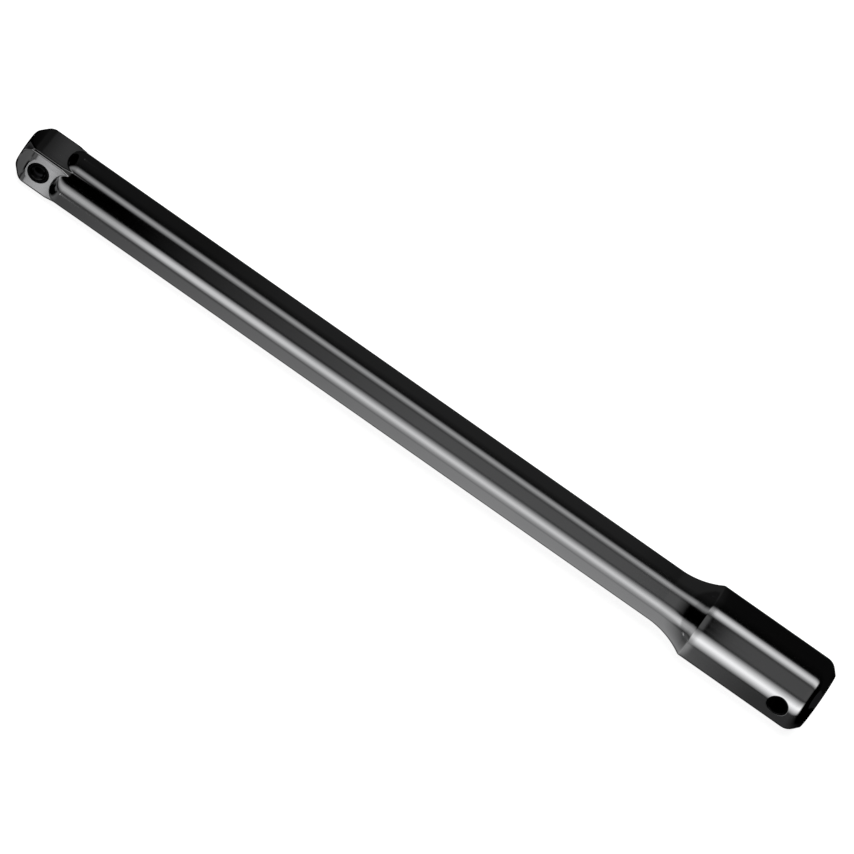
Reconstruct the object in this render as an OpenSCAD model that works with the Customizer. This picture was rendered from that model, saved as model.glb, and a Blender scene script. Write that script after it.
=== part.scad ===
// Square-drive extension bar, 20 mm (3/4 in) drive, with a sprung detent ball.
// The bar's axis is X. The drive square is at the -X end and the socket head at the +X end.
// The origin is on the axis at mid-length. The detent ball is on the flat that faces -Y.

/* [Bar] */
// Length from the tip of the drive square to the face of the socket head
total_len = 400; // [200:10:500]
// Diameter of the plain round shaft
shaft_d = 24.8; // [23.8:0.1:25.2]

/* [Drive square] */
// Width across the flats of the drive square
drive_af = 19.05; // [18.8:0.05:19.2]
// Diameter over its rounded corners
drive_corner_d = 26; // [25.4:0.1:26]
// Length of the flats, from the tip to the rounded end of the shaft
drive_len = 17.9; // [17:0.1:20]
// Diameter of the flat circle at the tip
nose_d = 15.8; // [14:0.1:16.4]
// Length of the lead taper on each flat
flat_lead_len = 5.8; // [4:0.1:6.5]
// Angle of the lead taper on each flat
flat_lead_angle = 20; // [12:1:24]
// Radius that rounds the end of the shaft down to the flats
shaft_end_r = 7; // [5:0.5:8]

/* [Detent] */
// Diameter of the detent ball
ball_d = 7.94; // [7.7:0.02:8]
// Distance from the tip to the centre of the ball
ball_x = 11; // [10.5:0.1:11.5]
// Depth of the ball's bore below the flat, up to its drill point
ball_bore_depth = 14.1; // [13.5:0.1:14.5]
// Diameter of the spring's wire
wire_d = 0.7; // [0.6:0.05:0.7]
// Outside diameter of the spring
spring_od = 7; // [6.8:0.1:7.1]
// Number of turns, counting the closed turn at each end
spring_turns = 7; // [6:1:8]

/* [Socket head] */
// Diameter of the socket head
head_d = 34.8; // [33:0.1:36]
// Length of the head, from the end of the flare to its face
head_len = 58.8; // [50:0.2:65]
// Radius of the hollow flare between the shaft and the head
flare_r = 36; // [30:0.5:45]
// Length of the bevel on the head's rim, along the axis
rim_bevel_len = 3.8; // [3:0.1:5]
// Height of the bevel on the head's rim, towards the axis
rim_bevel_h = 4.2; // [3:0.1:4.2]
// Width across the flats of the square socket
socket_af = 19.25; // [19.2:0.05:19.5]
// Diameter over the rounded corners of the square socket
socket_corner_d = 26.2; // [26.1:0.1:26.4]
// Depth of the square socket
socket_depth = 24; // [22:0.5:28]
// Diameter of the hole drilled ahead of the broach
pilot_d = 19.6; // [19.5:0.1:20]
// Distance that the drilled hole runs on past the square
pilot_relief = 2.5; // [2:0.5:5]
// Diameter of the lead-in cone at the socket's mouth
mouth_d = 23.2; // [22:0.1:24]

/* [Cross hole] */
// Diameter of the hole across the head, for a retaining pin
cross_d = 8; // [6:0.1:8.2]
// Distance from the head's face to the centre of the cross hole
cross_from_face = 13.4; // [12.4:0.1:15]
// Width of the bevel round both ends of the cross hole
cross_bevel = 0.9; // [0.5:0.1:1.2]

/* [Hidden] */
$fn = 96;

over = 1;                 // length by which a cut or a union runs past its face
cross_over = 0.05;        // depth by which an arc dips, so that it crosses a line and doesn't only touch it
drill_point = 59;         // half of a twist drill's point angle

shaft_r = shaft_d / 2;
head_r = head_d / 2;
drive_h = drive_af / 2;
corner_r = drive_corner_d / 2;
nose_r = nose_d / 2;

// Distance that a circle of radius r runs along a line while it turns through a rise or a drop of h
function arc_run(r, h) = sqrt(r * r - (r - h) * (r - h));

// Where the flare leaves the shaft, measured from the tip
head_x = total_len - head_len;
flare_x = head_x - arc_run(flare_r, head_r - shaft_r);

// The shaft's rounded end: where it starts, and its foot, which lies a little inside the flats
foot_depth = 0.4;
shaft_x = drive_len + arc_run(shaft_end_r, shaft_r - drive_h);
foot_x = shaft_x - arc_run(shaft_end_r, shaft_r - drive_h + foot_depth);

// The square's corners run on past the flats, then fade into the shaft
corner_end_x = drive_len + 0.5;
corner_fade_len = 5;

// The staked lip holds the ball in: it is narrower than the ball, and the ball lies just behind it
ball_r = ball_d / 2;
ball_clear = 0.05;
lip_r = ball_r - 0.27;
lip_len = 0.4;
ball_bore_r = ball_r + ball_clear;
ball_y = -drive_h + lip_len + sqrt(ball_r * ball_r - lip_r * lip_r) + ball_clear;
stake_inner_r = lip_r + 0.45;
stake_outer_r = lip_r + 1.2;
stake_depth = 0.3;

// The spring stands on the bore's drill point and carries the ball on its last turn
coil_r = (spring_od - wire_d) / 2;
bore_end_y = -drive_h + ball_bore_depth;
spring_foot_y = bore_end_y + 0.05;
spring_top_y = ball_y + sqrt(pow(ball_r + wire_d / 2 + ball_clear, 2) - coil_r * coil_r);
closed_pitch = wire_d * 1.06;
wire_sides = 8;
steps_per_turn = 16;

// Turns a profile, drawn as [radius, distance from the tip], about the bar's axis
module turned() {
    translate([-total_len / 2, 0, 0]) rotate([0, 90, 0]) rotate_extrude() children();
}

// A cylinder or a cone along +Y, standing on the axis at a distance x from the tip
module across(x, y, length, r_start, r_end) {
    translate([x - total_len / 2, y, 0]) rotate([-90, 0, 0])
        cylinder(h = length, r1 = r_start, r2 = r_end);
}

// Side view of the drive square: two flats, each with its lead taper
module flats_outline() {
    lead_h = drive_h - flat_lead_len * tan(flat_lead_angle);
    back_x = corner_end_x + corner_fade_len + over;
    translate([-total_len / 2, 0]) polygon([
        [0, -lead_h], [flat_lead_len, -drive_h], [back_x, -drive_h],
        [back_x, drive_h], [flat_lead_len, drive_h], [0, lead_h]
    ]);
}

// The drive square: two pairs of flats inside a turned envelope that rounds the corners and the nose
module drive_square() {
    intersection() {
        linear_extrude(height = 3 * corner_r, center = true) flats_outline();
        rotate([90, 0, 0]) linear_extrude(height = 3 * corner_r, center = true) flats_outline();
        turned() polygon([
            [0, 0], [nose_r, 0], [corner_r, corner_r - nose_r], [corner_r, corner_end_x],
            [shaft_r - cross_over, corner_end_x + corner_fade_len],
            [shaft_r - over, corner_end_x + corner_fade_len + over],
            [0, corner_end_x + corner_fade_len + over]
        ]);
    }
}

// Profile of the shaft with its rounded end, the flare and the head
module blank_outline() {
    intersection() {
        polygon([[0, foot_x], [shaft_r, foot_x], [shaft_r, shaft_x], [0, shaft_x]]);
        union() {
            translate([shaft_r - shaft_end_r, shaft_x]) circle(r = shaft_end_r);
            polygon([
                [0, foot_x], [shaft_r - shaft_end_r, foot_x], [shaft_r - shaft_end_r, shaft_x], [0, shaft_x]
            ]);
        }
    }
    polygon([
        [0, shaft_x - cross_over], [shaft_r, shaft_x - cross_over], [shaft_r, flare_x + 3 * over],
        [0, flare_x + 3 * over]
    ]);
    difference() {
        polygon([
            [0, flare_x], [head_r, flare_x], [head_r, total_len - rim_bevel_len],
            [head_r - rim_bevel_h, total_len], [0, total_len]
        ]);
        translate([shaft_r + flare_r, flare_x]) circle(r = flare_r + cross_over);
    }
}

// The square socket, broached over a drilled hole, with a lead-in cone at its mouth
module square_socket() {
    pilot_r = pilot_d / 2;
    mouth_r = mouth_d / 2;
    pilot_x = total_len - socket_depth - pilot_relief;
    translate([total_len / 2 - socket_depth, 0, 0]) intersection() {
        translate([0, -socket_af / 2, -socket_af / 2]) cube([socket_depth + over, socket_af, socket_af]);
        translate([-over, 0, 0]) rotate([0, 90, 0])
            cylinder(h = socket_depth + 3 * over, d = socket_corner_d);
    }
    turned() polygon([
        [0, pilot_x - pilot_r / tan(drill_point)], [pilot_r, pilot_x],
        [pilot_r, total_len - (mouth_r - pilot_r)], [mouth_r + over, total_len + over],
        [0, total_len + over]
    ]);
}

// The ball's blind bore, its staked lip and the ring that the staking punch leaves
module ball_bore() {
    across(ball_x, -drive_h - over, over + 2 * lip_len, lip_r, lip_r);
    across(ball_x, -drive_h + lip_len, ball_bore_depth - lip_len, ball_bore_r, ball_bore_r);
    across(ball_x, bore_end_y, ball_bore_r / tan(drill_point), ball_bore_r, 0);
    translate([ball_x - total_len / 2, -drive_h, 0]) rotate([-90, 0, 0]) rotate_extrude()
        polygon([
            [stake_inner_r, -over], [stake_outer_r, -over], [stake_outer_r, 0],
            [(stake_inner_r + stake_outer_r) / 2, stake_depth], [stake_inner_r, 0]
        ]);
}

// The hole across the head, bevelled at both ends
module cross_hole() {
    cross_x = total_len - cross_from_face;
    cross_r = cross_d / 2;
    across(cross_x, -head_r - over, head_d + 2 * over, cross_r, cross_r);
    for (side = [0, 1]) mirror([0, side, 0])
        across(cross_x, -head_r - over, cross_bevel + over, cross_r + cross_bevel + over, cross_r);
}

// The forged bar in one piece: drive square, shaft, flare and socket head
module bar() {
    color("silver") difference() {
        union() {
            drive_square();
            turned() blank_outline();
        }
        square_socket();
        ball_bore();
        cross_hole();
    }
}

// The hardened ball behind the lip
module detent_ball() {
    color("dimgray") translate([ball_x - total_len / 2, ball_y, 0]) sphere(r = ball_r);
}

// Height of the wire's centre after a number of turns: one closed turn at each end, open turns between
function wire_y(turn) =
    turn <= 1 ? spring_foot_y - closed_pitch * turn
    : turn >= spring_turns - 1 ? spring_top_y + closed_pitch * (spring_turns - turn)
    : spring_foot_y - closed_pitch
        - (turn - 1) * (spring_foot_y - spring_top_y - 2 * closed_pitch) / (spring_turns - 2);

// One ring of points round the wire after a number of turns
function wire_ring(turn) = [
    for (k = [0:wire_sides - 1])
        let (
            around = 360 * turn,
            section = 360 * k / wire_sides,
            r = coil_r + wire_d / 2 * cos(section)
        )
        [r * cos(around), wire_y(turn) - wire_d / 2 * sin(section), r * sin(around)]
];

// The coil spring: rings of points joined along a helix, closed by a fan at each end
module detent_spring() {
    rings = spring_turns * steps_per_turn;
    points = [for (i = [0:rings]) each wire_ring(i / steps_per_turn)];
    sides = [
        for (i = [0:rings - 1], k = [0:wire_sides - 1])
            let (
                a = i * wire_sides + k,
                b = i * wire_sides + (k + 1) % wire_sides
            )
            [a, b, b + wire_sides, a + wire_sides]
    ];
    start_cap = [for (k = [wire_sides - 1:-1:0]) k];
    end_cap = [for (k = [0:wire_sides - 1]) rings * wire_sides + k];
    color("slategray") translate([ball_x - total_len / 2, 0, 0])
        polyhedron(points = points, faces = concat(sides, [start_cap, end_cap]), convexity = 10);
}

bar();
detent_ball();
detent_spring();
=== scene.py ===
"""Looks for the square-drive extension bar: finished meshes, metals, floor, light and camera.

Lengths are in millimetres along the bar from the tip of the drive square, as on a workshop drawing, and
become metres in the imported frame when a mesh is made.
"""
import math

import bmesh
import bpy
import numpy as np
from mathutils import Matrix, Vector


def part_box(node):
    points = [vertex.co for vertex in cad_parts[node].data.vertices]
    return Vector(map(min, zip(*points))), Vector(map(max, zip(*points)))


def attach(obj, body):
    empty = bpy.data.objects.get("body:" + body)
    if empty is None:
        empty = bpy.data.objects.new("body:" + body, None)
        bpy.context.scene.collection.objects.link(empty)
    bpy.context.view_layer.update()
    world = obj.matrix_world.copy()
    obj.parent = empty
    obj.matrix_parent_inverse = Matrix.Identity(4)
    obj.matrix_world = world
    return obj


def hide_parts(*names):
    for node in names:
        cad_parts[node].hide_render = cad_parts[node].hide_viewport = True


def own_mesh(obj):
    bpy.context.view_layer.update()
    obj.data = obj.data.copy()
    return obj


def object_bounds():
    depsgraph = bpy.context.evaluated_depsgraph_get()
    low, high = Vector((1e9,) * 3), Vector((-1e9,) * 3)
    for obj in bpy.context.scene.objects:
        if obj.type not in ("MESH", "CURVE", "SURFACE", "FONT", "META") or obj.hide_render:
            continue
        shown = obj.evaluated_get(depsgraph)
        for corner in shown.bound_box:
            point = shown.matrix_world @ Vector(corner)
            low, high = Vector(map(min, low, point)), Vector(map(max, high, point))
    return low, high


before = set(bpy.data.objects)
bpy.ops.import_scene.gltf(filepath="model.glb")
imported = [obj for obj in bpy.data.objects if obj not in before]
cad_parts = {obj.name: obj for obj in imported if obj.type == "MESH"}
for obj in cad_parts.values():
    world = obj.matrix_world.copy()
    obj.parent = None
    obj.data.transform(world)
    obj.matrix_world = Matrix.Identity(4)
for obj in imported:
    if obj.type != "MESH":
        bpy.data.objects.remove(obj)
cad_low, cad_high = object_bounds()

# ---------------------------------------------------------------- sizes

MM = 0.001
BAR_LOW, BAR_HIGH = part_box("bar")
BALL_LOW, BALL_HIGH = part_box("detent_ball")
SPRING_LOW, SPRING_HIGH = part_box("detent_spring")

LENGTH = (BAR_HIGH.x - BAR_LOW.x) / MM
HEAD_R = (BAR_HIGH.z - BAR_LOW.z) / 2 / MM
BALL_R = (BALL_HIGH.x - BALL_LOW.x) / 2 / MM
BALL_X = ((BALL_HIGH.x + BALL_LOW.x) / 2 - BAR_LOW.x) / MM
BALL_Y = (BALL_HIGH.y + BALL_LOW.y) / 2 / MM

# Drive square and shaft
SHAFT_R = 12.4
DRIVE_H = 9.525           # half the width across the flats
CORNER_R = 13.0           # over the rounded corners
NOSE_R = 7.9
LEAD_LEN = 5.8            # lead taper on each flat
LEAD_SLOPE = math.tan(math.radians(20))
DRIVE_LEN = 17.9          # from the tip to the rounded end of the shaft
SHAFT_END_R = 7.0         # rounding of the shaft's end
FOOT_DEPTH = 0.4          # how far below the flats that rounding goes on
CORNER_END_X = 18.4       # where the square's corners start to sink into the shaft
FADE_LEN = 5.0            # and the length over which they do

# Ball bore
BORE_R = BALL_R + 0.05
BORE_DEPTH = 14.1
LIP_R = BALL_R - 0.27
LIP_LEN = 0.4
STAKE_IN_R = LIP_R + 0.45
STAKE_OUT_R = LIP_R + 1.2
STAKE_DEPTH = 0.3
DRILL_SLOPE = 1 / math.tan(math.radians(59))

# Flare and head
FLARE_R = 36.0
HEAD_X = LENGTH - 58.8
RIM_LEN = 3.8
RIM_H = 4.2
FLARE_SOFT = 2.6          # length at the top of the flare that its softened edge takes up
FLARE_STEPS = 22

# Fillet radii along the turned outline
NOSE_FILLET = 4.0         # round the flat circle at the tip
CORNER_FILLET = 5.0       # where the nose's cone meets the square's corners
HEAD_FILLET = 2.0         # where the flare meets the head
RIM_FILLET = 6.0          # where the head meets its rim bevel
FACE_FILLET = 0.15        # where the rim bevel meets the face

# Socket
SOCKET_H = 9.625
SOCKET_CORNER_R = 13.1
SOCKET_DEPTH = 24.0
PILOT_R = 9.8
PILOT_RELIEF = 2.5
MOUTH_R = 11.6

# Cross hole
CROSS_R = 4.0
CROSS_X = LENGTH - 13.4
CROSS_BEVEL = 0.9

# Spring
WIRE_D = 0.7
CLOSED_PITCH = WIRE_D * 1.06

# Mesh density and the softening of edges by polishing
COLUMNS = 256             # round the bar; a multiple of 8
CROWDING = 0.125          # how far the columns crowd towards the corners of the squares
EDGE_SOFT = 0.3           # softened edges of the drive square
HOLLOW_SOFT = 0.2         # fillet where the flats run out in the shaft
SOCKET_SOFT = 0.05        # softened edge between the broached socket and its drilled hole
SHARP_ANGLE = math.radians(32)    # faces that meet at more than this are shaded with an edge
ARC_STEPS = 4             # rings in a rounded corner of the profile
FINE_RUN = 0.7            # length before the end of the flats from which the rings lie closer
FADE_DIP = 0.05           # how far the fading corners dip under the shaft,
JOIN_LEN = 1.0            # and the length over which they come back up to it
SOCKET_SHADE = 1.5        # length behind the face over which the socket's painted shade deepens to full
STEP_LEAN = 0.01          # lean of the step at the socket's bottom, so that its rings keep their order
SAME_PLACE = 1e-6         # places closer together than this are the same

# Blocks of cells, rewoven round the ball's bore and the cross hole: half lengths and numbers of cells
BALL_WINDOW, BALL_CELLS_TURN = 5.4, 32
OUTER_WINDOW, OUTER_CELLS_X, OUTER_CELLS_TURN = 5.6, 20, 20
INNER_WINDOW, INNER_CELLS_X, INNER_CELLS_TURN = 5.0, 12, 28
WEAVE_CROWDING = 1.35     # how far the rings in a block crowd towards its hole


# ---------------------------------------------------------------- mesh building

def link(name, data):
    """Makes an object of that data and puts it in the scene."""
    obj = bpy.data.objects.new(name, data)
    bpy.context.scene.collection.objects.link(obj)
    return obj


def smooth_min(a, b, width):
    """The smaller of a and b, rounded off where they are within width of each other."""
    t = np.clip(0.5 + 0.5 * (b - a) / width, 0, 1)
    return b + (a - b) * t - width * t * (1 - t)


def smooth_max(a, b, width):
    """The larger of a and b, rounded off in the same way."""
    return -smooth_min(-a, -b, width)


def rounded_path(corners):
    """Points along a profile. A corner is (x, r, fillet radius, number of cells up to the next corner)."""
    points = []
    count = len(corners)
    exits = [Vector(c[:2]) for c in corners]
    for i, (x, r, fillet, _) in enumerate(corners):
        here = Vector((x, r))
        arc = [here]
        if fillet and 0 < i < count - 1:
            back = (Vector(corners[i - 1][:2]) - here).normalized()
            ahead = (Vector(corners[i + 1][:2]) - here).normalized()
            half = back.angle(ahead) / 2
            centre = here + (back + ahead).normalized() * (fillet / math.sin(half))
            start = here + back * (fillet / math.tan(half)) - centre
            sweep = start.angle_signed(here + ahead * (fillet / math.tan(half)) - centre)
            arc = [centre + Matrix.Rotation(-sweep * k / ARC_STEPS, 2) @ start for k in range(ARC_STEPS + 1)]
        if points:
            cells = corners[i - 1][3]
            last = exits[i - 1]
            points += [last.lerp(arc[0], k / cells) for k in range(1, cells)]
        points += arc
        exits[i] = arc[-1]
    return np.array([tuple(p) for p in points])


def column_angles():
    """Angles round the bar from -Y towards +Z, crowded towards the corners of the squares."""
    even = np.arange(COLUMNS) * 2 * math.pi / COLUMNS
    return even + CROWDING * np.sin(4 * even)


class MeshMaker:
    """Collects vertices, faces and what each vertex's surface is like."""

    def __init__(self):
        self.points, self.finish, self.faces = [], [], []

    def add(self, points, recess=0.0, ground=0.0, edge=0.0):
        """Adds a row of points in bar coordinates, and each mark as one value for all or one for each.
        Returns the points' numbers."""
        first = len(self.points)
        self.points += [tuple(p) for p in points]
        self.finish += zip(*[np.broadcast_to(mark, len(points)).tolist() for mark in (recess, ground, edge)])
        return list(range(first, len(self.points)))

    def bridge(self, a, b):
        """Quads between two closed rows of the same length."""
        n = len(a)
        for k in range(n):
            m = (k + 1) % n
            self.faces.append((a[k], a[m], b[m], b[k]))

    def fan(self, row, centre):
        """Triangles from a closed row to one point."""
        for k in range(len(row)):
            self.faces.append((row[k], row[(k + 1) % len(row)], centre))

    def build(self, name):
        """Makes the object in metres, without the points that no face uses, and with its faces outwards."""
        used = sorted({v for f in self.faces for v in f})
        number = {v: i for i, v in enumerate(used)}
        shift = np.array([BAR_LOW.x / MM, 0, 0])
        points = (np.array([self.points[v] for v in used]) + shift) * MM
        mesh = bpy.data.meshes.new(name)
        mesh.from_pydata(points.tolist(), [], [[number[v] for v in f] for f in self.faces])
        # One of these marks is painted shade for the socket and the holes; the other two are finish
        for k, mark in enumerate(("recess", "ground", "edge")):
            layer = mesh.attributes.new(mark, "FLOAT", "POINT")
            layer.data.foreach_set("value", [self.finish[v][k] for v in used])
        sheet = bmesh.new()
        sheet.from_mesh(mesh)
        bmesh.ops.recalc_face_normals(sheet, faces=sheet.faces)
        sheet.to_mesh(mesh)
        sheet.free()
        mesh.polygons.foreach_set("use_smooth", [True] * len(mesh.polygons))
        mesh.set_sharp_from_angle(angle=SHARP_ANGLE)
        return link(name, mesh)


# ---------------------------------------------------------------- the forged bar

def half_width(x):
    """Half the width across the flats at a distance x from the tip, with the lead taper's edge softened."""
    taper = DRIVE_H - (LEAD_LEN - x) * LEAD_SLOPE
    return smooth_min(taper, np.full_like(taper, DRIVE_H), EDGE_SOFT)


def arc_run(radius, rise):
    """Distance that an arc runs along the bar while it turns through a rise."""
    return math.sqrt(radius ** 2 - (radius - rise) ** 2)


SHAFT_X = DRIVE_LEN + arc_run(SHAFT_END_R, SHAFT_R - DRIVE_H)
FOOT_X = SHAFT_X - arc_run(SHAFT_END_R, SHAFT_R - DRIVE_H + FOOT_DEPTH)


def shaft_end(x):
    """Radius of the shaft and of its rounded end."""
    run = np.clip(SHAFT_X - x, 0, SHAFT_END_R)
    return np.where(x < FOOT_X, 0, SHAFT_R - SHAFT_END_R + np.sqrt(SHAFT_END_R ** 2 - run ** 2))


def square(half, angle):
    """Distance from the axis to a square of that half width, in the direction of an angle."""
    return half / np.maximum(abs(np.cos(angle)), abs(np.sin(angle)))


def drive_radius(x, envelope, angle):
    """Radius of the drive square: flats cut in the turned envelope, running out in the shaft's end."""
    cut = smooth_min(envelope, square(half_width(x), angle), EDGE_SOFT)
    return smooth_max(cut, shaft_end(x), HOLLOW_SOFT)


def socket_radius(drilled, angle):
    """Radius of the broached socket over its drilled hole."""
    broached = smooth_min(square(SOCKET_H, angle), np.full_like(angle, SOCKET_CORNER_R), EDGE_SOFT)
    return smooth_max(broached, drilled, SOCKET_SOFT)


def outer_profile():
    """The turned outline from the centre of the tip to the rim of the socket's face."""
    flare_x = HEAD_X - arc_run(FLARE_R, HEAD_R - SHAFT_R)
    whole_turn = math.acos(1 - (HEAD_R - SHAFT_R) / FLARE_R)
    last_turn = whole_turn - FLARE_SOFT / FLARE_R
    flare = [(flare_x + FLARE_R * math.sin(a), SHAFT_R + FLARE_R * (1 - math.cos(a)), 0, 1)
             for a in np.linspace(0, last_turn, FLARE_STEPS)]
    behind = CORNER_END_X + FADE_LEN
    return rounded_path([
        (0, 0, 0, 5), (0, NOSE_R, NOSE_FILLET, 6), (CORNER_R - NOSE_R, CORNER_R, CORNER_FILLET, 16),
        (DRIVE_LEN - FINE_RUN, CORNER_R, 0, 12), (CORNER_END_X, CORNER_R, 0, 30),
        (behind, SHAFT_R - FADE_DIP, 0, 4), (behind + JOIN_LEN, SHAFT_R, 0, 30), *flare,
        (HEAD_X, HEAD_R, HEAD_FILLET, 12),
        (CROSS_X - OUTER_WINDOW, HEAD_R, 0, OUTER_CELLS_X), (CROSS_X + OUTER_WINDOW, HEAD_R, 0, 3),
        (LENGTH - RIM_LEN, HEAD_R, RIM_FILLET, 4), (LENGTH, HEAD_R - RIM_H, FACE_FILLET, 1),
        (LENGTH, SOCKET_CORNER_R + 0.01, 0, 1),
    ])


def inner_profile():
    """The drilled outline from the socket's mouth to the point of the drill."""
    bottom = LENGTH - SOCKET_DEPTH - PILOT_RELIEF
    return rounded_path([
        (LENGTH, MOUTH_R, 0, 4), (LENGTH - (MOUTH_R - PILOT_R), PILOT_R, 0, 8),
        (CROSS_X + INNER_WINDOW, PILOT_R, 0, INNER_CELLS_X), (CROSS_X - INNER_WINDOW, PILOT_R, 0, 8),
        (LENGTH - SOCKET_DEPTH, PILOT_R, 0, 3), (bottom, PILOT_R, 0.3, 8),
        (bottom - PILOT_R * DRILL_SLOPE, 0, 0, 1),
    ])


def polar(x, radius, angle):
    """Points at a distance x along the bar, at a radius and an angle round it."""
    radius, angle = np.broadcast_arrays(radius, angle)
    return np.stack([np.full(radius.shape, x), -radius * np.cos(angle), radius * np.sin(angle)], 1)


def loop_round(rows, row_range, columns):
    """Mesh numbers round a block of cells, from the middle of its low-Z side, towards the head first."""
    first, last = row_range
    middle = (first + last) // 2
    loop = [(i, columns[0]) for i in range(middle, last)]
    loop += [(last, c) for c in columns[:-1]]
    loop += [(i, columns[-1]) for i in range(last, first, -1)]
    loop += [(first, c) for c in reversed(columns[1:])]
    loop += [(i, columns[0]) for i in range(first, middle)]
    return [rows[i][c % COLUMNS] for i, c in loop]


def height_on(radius_of, z, guess, rounds=25):
    """Distance from the bar's middle plane to a surface at a height z. The surface is given as its radius by
    angle, and each round starts from the last one's answer."""
    y = np.full(np.shape(z), float(guess))
    for _ in range(rounds):
        radius = radius_of(np.arctan2(z, y))
        y = np.sqrt(np.maximum(radius ** 2 - z ** 2, 0))
    return y


def reweave(maker, loop, centre_x, side, hole_r, radius_of, guess, rings=6, **finish):
    """Rings of quads from a block's edge in to a round hole across the bar. Returns the last ring."""
    edge = np.array([maker.points[v] for v in loop])
    around = hole_angles(len(loop))
    circle_x = centre_x + hole_r * np.cos(around)
    circle_z = hole_r * np.sin(around)
    row = loop
    for k in range(1, rings + 1):
        t = 1 - (1 - k / rings) ** WEAVE_CROWDING
        x = edge[:, 0] * (1 - t) + circle_x * t
        z = edge[:, 2] * (1 - t) + circle_z * t
        y = side * height_on(radius_of, z, guess)
        new = maker.add(np.stack([x, y, z], 1), **finish)
        maker.bridge(row, new)
        row = new
    return row


def hole_angles(count):
    """Angles round a hole across the bar, from -Z towards the head first."""
    return -math.pi / 2 + np.arange(count) * 2 * math.pi / count


def mark_edges(path, window=0.35):
    """0 on a profile's straight stretches, and up to 1 where it turns by window radians or more."""
    steps = np.diff(path, axis=0)
    heading = np.unwrap(np.arctan2(steps[:, 1], steps[:, 0]))
    turn = np.abs(np.diff(heading))
    return np.concatenate([[0], np.clip(turn / window, 0, 1), [0]])


def outer_surface(maker, angles):
    """Rings from the centre of the tip to the socket's rim. Returns them, with the profile's x."""
    path = outer_profile()
    turning = mark_edges(path)
    rows = []
    for k, (x, envelope) in enumerate(path):
        if k == 0:
            rows.append(maker.add([(0, 0, 0)]))
            continue
        flat = np.zeros(COLUMNS)
        if x <= CORNER_END_X + FADE_LEN + JOIN_LEN:
            radius = drive_radius(np.full(COLUMNS, x), envelope, angles)
            gap = abs(square(half_width(np.array([x])), angles) - envelope)
            edge = np.clip(1 - gap / EDGE_SOFT, 0, 1)
            flat = (envelope - radius > EDGE_SOFT / 2) * 1.0
        else:
            radius = np.full(COLUMNS, envelope)
            edge = np.zeros(COLUMNS)
        edge = np.maximum(edge, turning[k])
        rows.append(maker.add(polar(x, radius, angles), ground=flat, edge=edge))
    return rows, path[:, 0]


def inner_surface(maker, angles):
    """Rings from the socket's mouth down to the drill point. Returns them, with the profile's x."""
    path = inner_profile()
    square_bottom = LENGTH - SOCKET_DEPTH
    rows, places = [], []
    for x, drilled in path[:-1]:
        # Painted shade, deepening from the socket's face inwards
        inside = min(1.0, (LENGTH - x) / SOCKET_SHADE)
        if x >= square_bottom - SAME_PLACE:
            radius = socket_radius(drilled, angles)
        else:
            radius = np.full(COLUMNS, drilled)
        rows.append(maker.add(polar(x, radius, angles), recess=inside))
        places.append(x)
        if abs(x - square_bottom) < SAME_PLACE:
            for share in (0.66, 0.33, 0.0):
                step = drilled + (radius - drilled) * share
                rows.append(maker.add(polar(x - STEP_LEAN * (1 - share), step, angles), recess=inside))
                places.append(x)
    rows.append(maker.add([(path[-1, 0], 0, 0)], recess=1.0))
    places.append(path[-1, 0])
    return rows, np.array(places)


def weave(maker, rows, windows):
    """Quads between neighbouring rings, apart from the cells in windows: (first row, last row, columns)."""
    holes = {(i, c % COLUMNS) for first, last, columns in windows
             for i in range(first, last) for c in sorted(columns)[:-1]}
    for i, (a, b) in enumerate(zip(rows, rows[1:])):
        if len(a) == 1 or len(b) == 1:
            maker.fan(a if len(b) == 1 else b, (b if len(b) == 1 else a)[0])
            continue
        for c in range(COLUMNS):
            if (i, c) not in holes:
                d = (c + 1) % COLUMNS
                maker.faces.append((a[c], a[d], b[d], b[c]))


def row_near(places, x):
    """Number of the ring nearest to a distance along the bar, looking from the last ring back."""
    return len(places) - 1 - int(np.argmin(abs(places[::-1] - x)))


def columns_round(half, side):
    """Columns across a window on the -Y side (side -1) or the +Y side (side 1), from low Z to high Z."""
    middle = 0 if side < 0 else COLUMNS // 2
    step = 1 if side < 0 else -1
    return [middle + step * k for k in range(-half, half + 1)]


def ring_across(maker, centre_x, radius, y, count, **finish):
    """A ring of points round an axis across the bar. y is one distance or one for each point."""
    around = hole_angles(count)
    x = centre_x + radius * np.cos(around)
    z = radius * np.sin(around)
    return maker.add(np.stack([x, np.broadcast_to(y, x.shape), z], 1), **finish)


def ball_bore(maker, loop):
    """Weaves the stake ring, the lip and the blind bore into the -Y flat."""
    count = len(loop)
    outside_r = STAKE_OUT_R + 0.15
    middle_r = (STAKE_IN_R + STAKE_OUT_R) / 2
    inner_drop, lip_slope = 0.03, 0.02                # small steps down at the ring and behind the lip
    rim, groove, crisp, bottom = 0.08, 0.1, 0.03, 0.2     # fillet radii

    def flat(angle):
        return square(DRIVE_H, angle)

    row = reweave(maker, loop, BALL_X, -1, outside_r, flat, DRIVE_H, rings=5, ground=1.0)
    path = rounded_path([
        (0, outside_r, 0, 1), (0, STAKE_OUT_R, rim, 2), (STAKE_DEPTH, middle_r, groove, 2),
        (inner_drop, STAKE_IN_R, rim, 2), (0, LIP_R, groove, 2), (LIP_LEN, LIP_R, crisp, 1),
        (LIP_LEN + lip_slope, BORE_R, crisp, 8), (BORE_DEPTH, BORE_R, bottom, 6),
        (BORE_DEPTH + BORE_R * DRILL_SLOPE, 0, 0, 1),
    ])
    # From the stake ring inwards the surface carries full painted shade
    for depth, radius in path[1:-1]:
        new = ring_across(maker, BALL_X, radius, -DRIVE_H + depth, count, recess=1.0)
        maker.bridge(row, new)
        row = new
    point = maker.add([(BALL_X, -DRIVE_H + path[-1, 0], 0)], recess=1.0)
    maker.fan(row, point[0])


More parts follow.
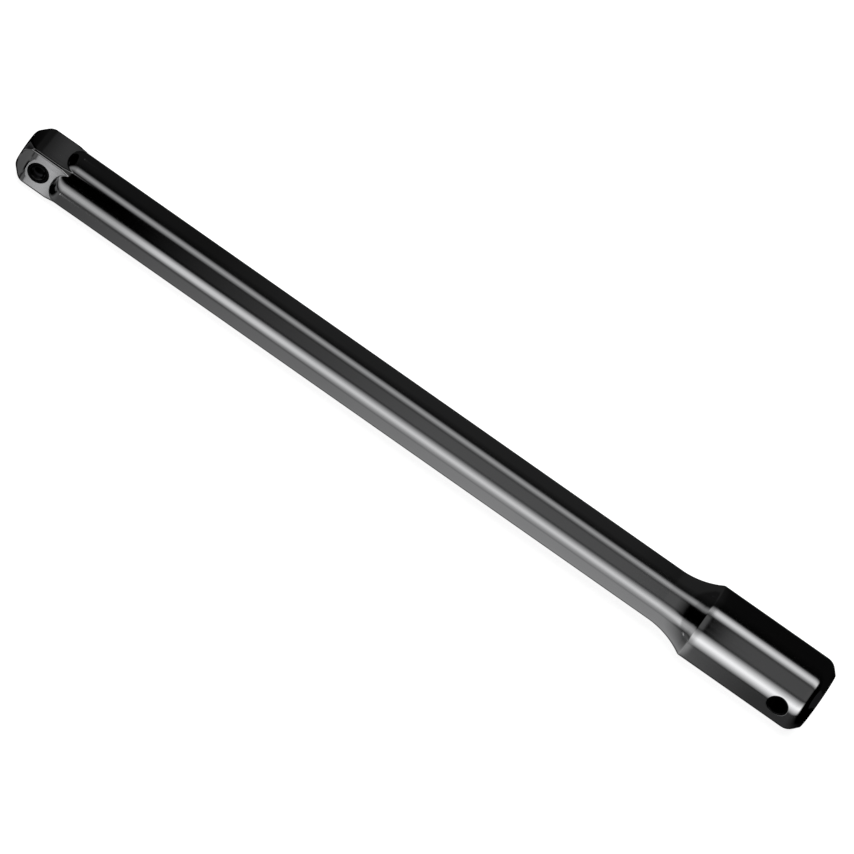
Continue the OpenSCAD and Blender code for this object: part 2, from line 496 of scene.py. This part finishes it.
def cross_tunnel(maker, outer_loop, inner_loop, side):
    """Weaves one wall's part of the cross hole: its bevel, its wall and its inner edge."""
    count = len(outer_loop)
    around = hole_angles(count)
    soft = 0.14
    bevel_r = CROSS_R + CROSS_BEVEL
    floor = HEAD_R - CROSS_BEVEL
    wall_steps = 4

    def head(angle):
        return np.full(np.shape(angle), HEAD_R)

    def socket(angle):
        return socket_radius(np.full(np.shape(angle), PILOT_R), angle)

    def on_head(radius):
        return np.sqrt(HEAD_R ** 2 - (radius * np.sin(around)) ** 2)

    row = reweave(maker, outer_loop, CROSS_X, side, bevel_r + soft, head, HEAD_R)
    inner_y = height_on(socket, CROSS_R * np.sin(around), SOCKET_H)

    # Each station is a radius, a distance from the middle plane, the painted shade mark and the edge mark
    stations = [
        (bevel_r, on_head(bevel_r) - soft * 0.2, 0.5, 0.5),
        (bevel_r - soft * 0.7, on_head(bevel_r) - soft * 0.7, 1.0, 0.0),
        (CROSS_R + soft * 0.7, floor + soft * 0.7, 1.0, 0.0),
        (CROSS_R + soft * 0.2, floor, 1.0, 0.0),
        (CROSS_R, floor - soft, 1.0, 0.0),
    ]
    wall = [floor + (inner_y - floor) * k / wall_steps for k in range(1, wall_steps)]
    stations += [(CROSS_R, y, 1.0, 0.0) for y in wall]
    stations += [(CROSS_R, inner_y + soft, 1.0, 0.0), (CROSS_R + soft * 0.2, inner_y + soft * 0.2, 1.0, 0.3)]
    for radius, y, recess, edge in stations:
        new = ring_across(maker, CROSS_X, radius, side * y, count, recess=recess, edge=edge)
        maker.bridge(row, new)
        row = new
    inner = reweave(maker, inner_loop, CROSS_X, side, CROSS_R + soft, socket, SOCKET_H, rings=5, recess=1.0)
    maker.bridge(row, inner)


def make_bar():
    """The whole forging as one closed mesh of quads, with every edge softened as polishing leaves it."""
    maker = MeshMaker()
    angles = column_angles()
    outer, outer_x = outer_surface(maker, angles)
    inner, inner_x = inner_surface(maker, angles)

    ball_window = (row_near(outer_x, BALL_X - BALL_WINDOW), row_near(outer_x, BALL_X + BALL_WINDOW),
                   columns_round(BALL_CELLS_TURN // 2, -1))
    if (ball_window[1] - ball_window[0]) % 2:
        ball_window = (ball_window[0], ball_window[1] + 1, ball_window[2])
    head_rows = row_near(outer_x, CROSS_X - OUTER_WINDOW), row_near(outer_x, CROSS_X + OUTER_WINDOW)
    socket_rows = row_near(inner_x, CROSS_X + INNER_WINDOW), row_near(inner_x, CROSS_X - INNER_WINDOW)
    outer_windows, inner_windows = [ball_window], []
    for side in (-1, 1):
        outer_windows.append((*head_rows, columns_round(OUTER_CELLS_TURN // 2, side)))
        inner_windows.append((*socket_rows, columns_round(INNER_CELLS_TURN // 2, side)))
    weave(maker, outer, outer_windows)
    weave(maker, inner, inner_windows)
    maker.bridge(outer[-1], inner[0])

    ball_bore(maker, loop_round(outer, ball_window[:2], ball_window[2]))
    for side, (a, b, columns), (c, d, inner_columns) in zip((-1, 1), outer_windows[1:], inner_windows):
        outer_loop = loop_round(outer, (a, b), columns)
        inner_loop = aligned_loop(maker, loop_round(inner, (c, d), inner_columns))
        cross_tunnel(maker, outer_loop, inner_loop, side)
    return maker.build("forged_bar")


def aligned_loop(maker, loop):
    """The same loop, turned and if need be reversed so that it runs from -Z towards the head first."""
    points = np.array([maker.points[v] for v in loop])
    around = np.unwrap(np.arctan2(points[:, 2], points[:, 0] - CROSS_X))
    if around[-1] < around[0]:
        loop = loop[::-1]
        points = points[::-1]
    angle = np.arctan2(points[:, 2], points[:, 0] - CROSS_X)
    first = int(np.argmin(abs(angle + math.pi / 2)))
    return loop[first:] + loop[:first]


# ---------------------------------------------------------------- ball and spring

def make_ball():
    """The detent ball, as a cube's grid blown up to a sphere, so that its quads are even."""
    cells = 28
    maker = MeshMaker()
    ramp = np.tan(np.linspace(-math.pi / 4, math.pi / 4, cells + 1))
    numbers = {}

    def corner(point):
        key = tuple(np.round(point, 6))
        if key not in numbers:
            place = np.array(point) / np.linalg.norm(point) * BALL_R + (BALL_X, BALL_Y, 0)
            numbers[key] = maker.add([place])[0]
        return numbers[key]

    for axis in range(3):
        for side in (-1, 1):
            for i in range(cells):
                for j in range(cells):
                    spots = [(ramp[i], ramp[j]), (ramp[i + 1], ramp[j]),
                             (ramp[i + 1], ramp[j + 1]), (ramp[i], ramp[j + 1])]
                    face = [corner(np.roll([side, a, b], axis)) for a, b in spots]
                    maker.faces.append(tuple(face))
    return maker.build("ball")


def make_spring():
    """The coil spring: round wire, one closed turn and a ground face at each end."""
    turns, sides, steps = 7, 16, 40       # turns of wire, points round the wire, rings in a turn
    low, high = SPRING_LOW.y / MM, SPRING_HIGH.y / MM
    wire = WIRE_D / 2
    coil_r = (SPRING_HIGH.x - SPRING_LOW.x) / 2 / MM - wire
    foot, top = high - wire, low + wire
    ground = wire * 0.45                  # depth ground off each end
    open_rise = (foot - top - 2 * CLOSED_PITCH) / (turns - 2)
    maker = MeshMaker()
    rows = []
    section = np.arange(sides) * 2 * math.pi / sides
    for i in range(turns * steps + 1):
        turn = i / steps
        closed = min(turn, 1) + max(turn - turns + 1, 0)
        y = foot - closed * CLOSED_PITCH - (turn - closed) * open_rise
        radius = coil_r + wire * np.cos(section)
        around = 2 * math.pi * turn
        height = np.clip(y + wire * np.sin(section), top - wire + ground, foot + wire - ground)
        points = np.stack([BALL_X + radius * math.cos(around), height, radius * math.sin(around)], 1)
        rows.append(maker.add(points))
    for a, b in zip(rows, rows[1:]):
        maker.bridge(a, b)
    for row in (rows[0], rows[-1]):
        middle = np.mean([maker.points[v] for v in row], axis=0)
        maker.fan(row, maker.add([middle])[0])
    return maker.build("spring")


# ---------------------------------------------------------------- materials

PLATE_COLOURS = (0.62, 0.625, 0.635, 1), (0.72, 0.72, 0.73, 1)
EDGE_COLOUR = (0.80, 0.80, 0.79, 1)
# Near-black painted shade for the socket, the holes and the ball's stake ring
PAINTED_SHADE_COLOUR = (0.014, 0.014, 0.015, 1)
GROUND_ROUGHNESS = 0.09
RECESS_ROUGHNESS = 0.45
# Near-black painted shade on the ball, far darker than bearing steel is
BALL_SHADE_COLOURS = (0.010, 0.010, 0.011, 1), (0.024, 0.024, 0.026, 1)
SPRING_COLOURS = (0.20, 0.21, 0.24, 1), (0.33, 0.33, 0.34, 1)


class Shader:
    """A material's node tree around its Principled BSDF, with short calls for the nodes used here."""

    def __init__(self, name):
        self.material = bpy.data.materials.new(name)
        self.material.use_nodes = True
        self.tree = self.material.node_tree
        self.bsdf = self.tree.nodes["Principled BSDF"]
        self.where = self.node("ShaderNodeTexCoord").outputs["Object"]

    def node(self, kind, **settings):
        made = self.tree.nodes.new(kind)
        for key, value in settings.items():
            setattr(made, key, value)
        return made

    def put(self, value, socket):
        """Sets a socket to a number or a colour, or links it."""
        if isinstance(value, bpy.types.NodeSocket):
            self.tree.links.new(value, socket)
        else:
            socket.default_value = value

    def noise(self, scale, stretch=(1, 1, 1), detail=3.0):
        """Noise with that many lumps a metre, along each axis times stretch."""
        place = self.node("ShaderNodeMapping")
        self.put(self.where, place.inputs["Vector"])
        place.inputs["Scale"].default_value = [scale * s for s in stretch]
        made = self.node("ShaderNodeTexNoise")
        self.put(place.outputs["Vector"], made.inputs["Vector"])
        made.inputs["Scale"].default_value = 1.0
        made.inputs["Detail"].default_value = detail
        return made.outputs["Fac"]

    def ramp(self, value, low, high, out_low=0.0, out_high=1.0):
        """Takes low..high to out_low..out_high, and holds the ends."""
        made = self.node("ShaderNodeMapRange")
        self.put(value, made.inputs["Value"])
        limits = {"From Min": low, "From Max": high, "To Min": out_low, "To Max": out_high}
        for name, number in limits.items():
            self.put(number, made.inputs[name])
        return made.outputs["Result"]

    def math(self, operation, a, b):
        """A sum, a product or the like of two values."""
        made = self.node("ShaderNodeMath", operation=operation)
        self.put(a, made.inputs[0])
        self.put(b, made.inputs[1])
        return made.outputs[0]

    def mix(self, factor, a, b):
        """Colour a where factor is 0, and b where it is 1."""
        made = self.node("ShaderNodeMix", data_type="RGBA")
        self.put(factor, made.inputs[0])
        self.put(a, made.inputs[6])
        self.put(b, made.inputs[7])
        return made.outputs[2]

    def mark(self, name):
        """A mark that the mesh carries at each vertex."""
        return self.node("ShaderNodeAttribute", attribute_name=name).outputs["Fac"]

    def bump(self, height, distance, below=None):
        """A bump up to distance metres high, on top of the normal below. Returns its normal."""
        made = self.node("ShaderNodeBump")
        made.inputs["Distance"].default_value = distance
        self.put(height, made.inputs["Height"])
        if below is not None:
            self.put(below, made.inputs["Normal"])
        return made.outputs["Normal"]


def chrome():
    """Polished chrome plate: faint lengthwise polishing lines, soft smears, duller flats, and near-black
    painted shade in the socket and the holes.
    """
    s = Shader("polished_chrome")
    lines = s.noise(2600, stretch=(0.02, 1, 1), detail=4)
    smears = s.noise(55, stretch=(0.5, 1, 1))
    ripple = s.noise(34, stretch=(0.45, 1, 1), detail=1)
    recess, ground, edge = s.mark("recess"), s.mark("ground"), s.mark("edge")
    plate = s.mix(smears, *PLATE_COLOURS)
    worn = s.mix(s.math("MULTIPLY", edge, 0.5), plate, EDGE_COLOUR)
    # Painted shade: this mark turns the plate near black in the socket and the holes
    s.put(s.mix(recess, worn, PAINTED_SHADE_COLOUR), s.bsdf.inputs["Base Color"])
    s.bsdf.inputs["Metallic"].default_value = 1.0
    polish = s.math("ADD", s.ramp(lines, 0.3, 0.7, 0.06, 0.10), s.ramp(smears, 0.45, 0.75, 0.0, 0.05))
    flats = s.math("MAXIMUM", polish, s.math("MULTIPLY", ground, GROUND_ROUGHNESS))
    rough = s.math("MAXIMUM", flats, s.math("MULTIPLY", recess, RECESS_ROUGHNESS))
    s.put(rough, s.bsdf.inputs["Roughness"])
    wave = s.bump(ripple, 0.00006)
    s.put(s.bump(lines, 0.0000012, wave), s.bsdf.inputs["Normal"])
    return s.material


def ball_steel():
    """Polished bearing steel whose colour is painted near black as shade, slightly cloudy, with fine pits.
    """
    s = Shader("ball_steel")
    cloud = s.noise(900)
    s.put(s.mix(cloud, *BALL_SHADE_COLOURS), s.bsdf.inputs["Base Color"])
    s.bsdf.inputs["Metallic"].default_value = 1.0
    s.put(s.ramp(cloud, 0.3, 0.7, 0.10, 0.22), s.bsdf.inputs["Roughness"])
    s.put(s.bump(s.noise(4000), 0.000002), s.bsdf.inputs["Normal"])
    return s.material


def spring_steel():
    """Drawn grey spring wire with a trace of blueing."""
    s = Shader("spring_steel")
    drawn = s.noise(5000, detail=4)
    cloud = s.noise(700)
    s.put(s.mix(cloud, *SPRING_COLOURS), s.bsdf.inputs["Base Color"])
    s.bsdf.inputs["Metallic"].default_value = 1.0
    s.put(s.ramp(drawn, 0.3, 0.7, 0.28, 0.42), s.bsdf.inputs["Roughness"])
    s.put(s.bump(drawn, 0.000004), s.bsdf.inputs["Normal"])
    return s.material


# ---------------------------------------------------------------- stage, light and camera

VIEW_ELEVATION = math.radians(40.5)   # how far above the ball's side the camera looks from
VIEW_ROLL = math.radians(35.04)       # how steeply the bar runs down to the right
VIEW_DISTANCE = 3.0
VIEW_WIDTH = 0.3533                   # width of the view at the bar
VIEW_SHIFT = (0.0022, -0.0013)        # from the bar's middle to the middle of the view, right and up
SENSOR = 36.0

TO_CAMERA = Vector((0, -math.cos(VIEW_ELEVATION), math.sin(VIEW_ELEVATION)))
OVER_BAR = Vector((0, math.sin(VIEW_ELEVATION), math.cos(VIEW_ELEVATION)))

TENT_RADIUS = 0.5
TENT_SPREAD = 1 + TENT_RADIUS / VIEW_DISTANCE    # how much further out the tent is seen than the bar
TENT_FROM, TENT_TO, TENT_STEP = -1300, 1800, 20  # its length, as places that the straight shaft would mirror
NEAR_FROM, NEAR_TO, NEAR_STEP = -20, 420, 1.5    # the stretch beside the bar, with finer steps
TENT_TURN_STEP = 2.0                             # degrees


def glow(turn, place):
    """Brightness of the light tent. turn is degrees from the camera's direction, down being positive; place
    is the distance from the tip at which the straight shaft would mirror it. The flare, the lead tapers and
    the rims look past the ends of the bar, into the tent's far parts."""

    def strip(centre, half, soft):
        """1 within half of a strip's centre, in degrees, and 0 past its soft edges."""
        return np.clip((half + soft - abs(turn - centre)) / (2 * soft), 0, 1)

    def along(*stops):
        """Brightness along a strip, in straight runs between stops of (place, brightness)."""
        return np.interp(place, *zip(*stops))

    # The upper strip light and the main one, which widens along the shaft. Both are brighter over the head
    over = strip(-38, 8.5, 6) * along((-600, 0.15), (0, 0.3), (24, 0.4), (324, 0.4),
                                      (336, 0.9), (600, 0.8), (700, 0))
    wide = along((90, 0), (180, 1))
    front = strip(50, 13 + wide, 8 + 4 * wide) * along((-600, 0.3), (24, 0.5), (50, 0.5), (70, 0.8),
                                                       (324, 0.8), (336, 1.3), (600, 1.3), (700, 0))

    # A weak fill between them, with a dark gap over the flare
    fill = strip(0, 24, 7) * along((60, 0), (200, 0.1), (326, 0.1), (334, 0), (347, 0),
                                   (352, 0.09), (600, 0.09), (700, 0))

    # Light from the table below, which grows towards the head and drops under it
    below = strip(112, 40, 9) * along((-900, 0.12), (-500, 0), (-150, 0), (-90, 0.12), (24, 0.07),
                                      (240, 0.3), (328, 0.3), (340, 0.1), (375, 0.04), (700, 0))

    # Two cards for the ball's side of the drive square: one for its lead taper, one for its flat
    lead = strip(88, 5, 3) * along((-420, 0), (-390, 0.12), (-210, 0.12), (-180, 0))
    flat = strip(80.5, 4, 2.5) * along((-5, 0.1), (8, 0.4), (18, 0.9), (20.5, 0))

    # The dark side: a trace of light on the bar's back, a patch for the upper flat, and the tent's open ends
    back = strip(-110, 50, 20) * along((-200, 0), (-180, 0.01), (90, 0.01), (130, 0.02), (300, 0.02),
                                       (345, 0.004))
    upper = strip(-99, 4, 3) * along((6, 0), (17, 0.07), (23, 0))
    end = (0.05 + 0.1 * strip(20, 45, 15)) * along((-1300, 1), (-900, 0.6), (-700, 0))
    behind = (strip(180, 15, 2) + strip(-180, 15, 2)) * along((-100, 0), (0, 0.9), (400, 0.9), (500, 0))
    return over + front + fill + np.maximum(np.maximum(below, lead), flat) + back + upper + end + behind


def light_tent():
    """A tube of soft strip lights round the bar. Only the metal's reflections see it."""
    turns = np.arange(-180, 180, TENT_TURN_STEP)
    places = np.concatenate([
        np.arange(TENT_FROM, NEAR_FROM, TENT_STEP), np.arange(NEAR_FROM, NEAR_TO, NEAR_STEP),
        np.arange(NEAR_TO, TENT_TO, TENT_STEP),
    ])
    along_bar = (places - LENGTH / 2) * MM * TENT_SPREAD
    points, levels = [], []
    for turn in turns:
        a = math.radians(turn)
        out = (TO_CAMERA * math.cos(a) - OVER_BAR * math.sin(a)) * TENT_RADIUS
        points += [(x, out.y, out.z) for x in along_bar]
        levels += list(glow(turn, places))
    n, m = len(turns), len(places)
    end = len(points)
    points.append((along_bar[0], 0, 0))
    levels.append(0.0)
    faces = [(i * m + k, i * m + k + 1, (i + 1) % n * m + k + 1, (i + 1) % n * m + k)
             for i in range(n) for k in range(m - 1)]
    faces += [(i * m, (i + 1) % n * m, end) for i in range(n)]
    mesh = bpy.data.meshes.new("light_tent")
    mesh.from_pydata(points, [], faces)
    mesh.attributes.new("glow", "FLOAT", "POINT").data.foreach_set("value", levels)
    tent = link("light_tent", mesh)
    s = Shader("tent_light")
    emission = s.node("ShaderNodeEmission")
    s.put(s.mark("glow"), emission.inputs["Strength"])
    s.put(emission.outputs[0], s.tree.nodes["Material Output"].inputs["Surface"])
    mesh.materials.append(s.material)
    tent.visible_camera = tent.visible_diffuse = tent.visible_shadow = False


def plain_white(name, strength):
    """A white that gives its own light, so that the floor and the backdrop are one even white."""
    s = Shader(name)
    s.bsdf.inputs["Base Color"].default_value = (0.5, 0.5, 0.5, 1)
    s.bsdf.inputs["Roughness"].default_value = 1.0
    s.bsdf.inputs["Specular IOR Level"].default_value = 0.0
    s.bsdf.inputs["Emission Color"].default_value = (1, 1, 1, 1)
    s.bsdf.inputs["Emission Strength"].default_value = strength
    return s.material


def make_stage():
    """A pale floor that the bar lies on, tilted to touch the shaft and the head, and a white dome."""
    tilt = math.atan((HEAD_R - SHAFT_R) / (HEAD_X - SHAFT_X))
    half = 6.0
    gap = 0.0001
    corners = [(-half, -half, 0), (half, -half, 0), (half, half, 0), (-half, half, 0)]
    mesh = bpy.data.meshes.new("floor")
    mesh.from_pydata(corners, [], [(0, 1, 2, 3)])
    floor = link("floor", mesh)
    floor.rotation_euler = (0, tilt, 0)
    floor.location = (BAR_LOW.x + HEAD_X * MM, 0, -HEAD_R * MM - gap)
    mesh.materials.append(plain_white("pale_floor", 0.9))
    floor.visible_glossy = False

    bpy.ops.mesh.primitive_uv_sphere_add(segments=48, ring_count=24, radius=8)
    dome = bpy.context.object
    dome.name = "backdrop"
    dome.data.materials.append(plain_white("backdrop_white", 1.0))
    dome.visible_glossy = dome.visible_diffuse = dome.visible_shadow = False

    world = bpy.data.worlds.new("dim_room")
    world.use_nodes = True
    world.node_tree.nodes["Background"].inputs["Color"].default_value = (0.012, 0.012, 0.013, 1)
    bpy.context.scene.world = world


def soft_light():
    """One big softbox overhead for the floor."""
    data = bpy.data.lights.new("softbox", "AREA")
    data.shape, data.size, data.energy = "DISK", 2.4, 40
    light = link("softbox", data)
    place = Vector((-0.2, -0.5, 2.2))
    light.location = place
    light.rotation_euler = (-place).to_track_quat("-Z", "Y").to_euler()
    light.visible_glossy = False


def make_camera():
    """Looks square at the bar from above its ball side, rolled so that the head lies low on the right."""
    data = bpy.data.cameras.new("camera")
    data.sensor_width = SENSOR
    data.lens = SENSOR * VIEW_DISTANCE / VIEW_WIDTH
    camera = link("camera", data)
    along, up = Vector((1, 0, 0)), OVER_BAR
    right = along * math.cos(VIEW_ROLL) + up * math.sin(VIEW_ROLL)
    top = up * math.cos(VIEW_ROLL) - along * math.sin(VIEW_ROLL)
    middle = (cad_low + cad_high) / 2 + right * VIEW_SHIFT[0] + top * VIEW_SHIFT[1]
    turn = Matrix((right, top, TO_CAMERA)).transposed()
    camera.matrix_world = Matrix.Translation(middle + TO_CAMERA * VIEW_DISTANCE) @ turn.to_4x4()
    bpy.context.scene.camera = camera


# ---------------------------------------------------------------- assembly

def finish_piece(piece, body, node, material):
    """Puts a finished piece in the place of its CAD node."""
    piece.data.materials.append(material)
    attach(piece, body)
    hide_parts(node)
    return piece


finish_piece(make_bar(), "bar", "bar", chrome())
finish_piece(make_ball(), "detent_ball", "detent_ball", ball_steel())
spring = finish_piece(make_spring(), "bar", "detent_spring", spring_steel())
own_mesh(spring)

make_camera()
light_tent()
make_stage()
soft_light()
bpy.context.scene.view_settings.view_transform = "Standard"
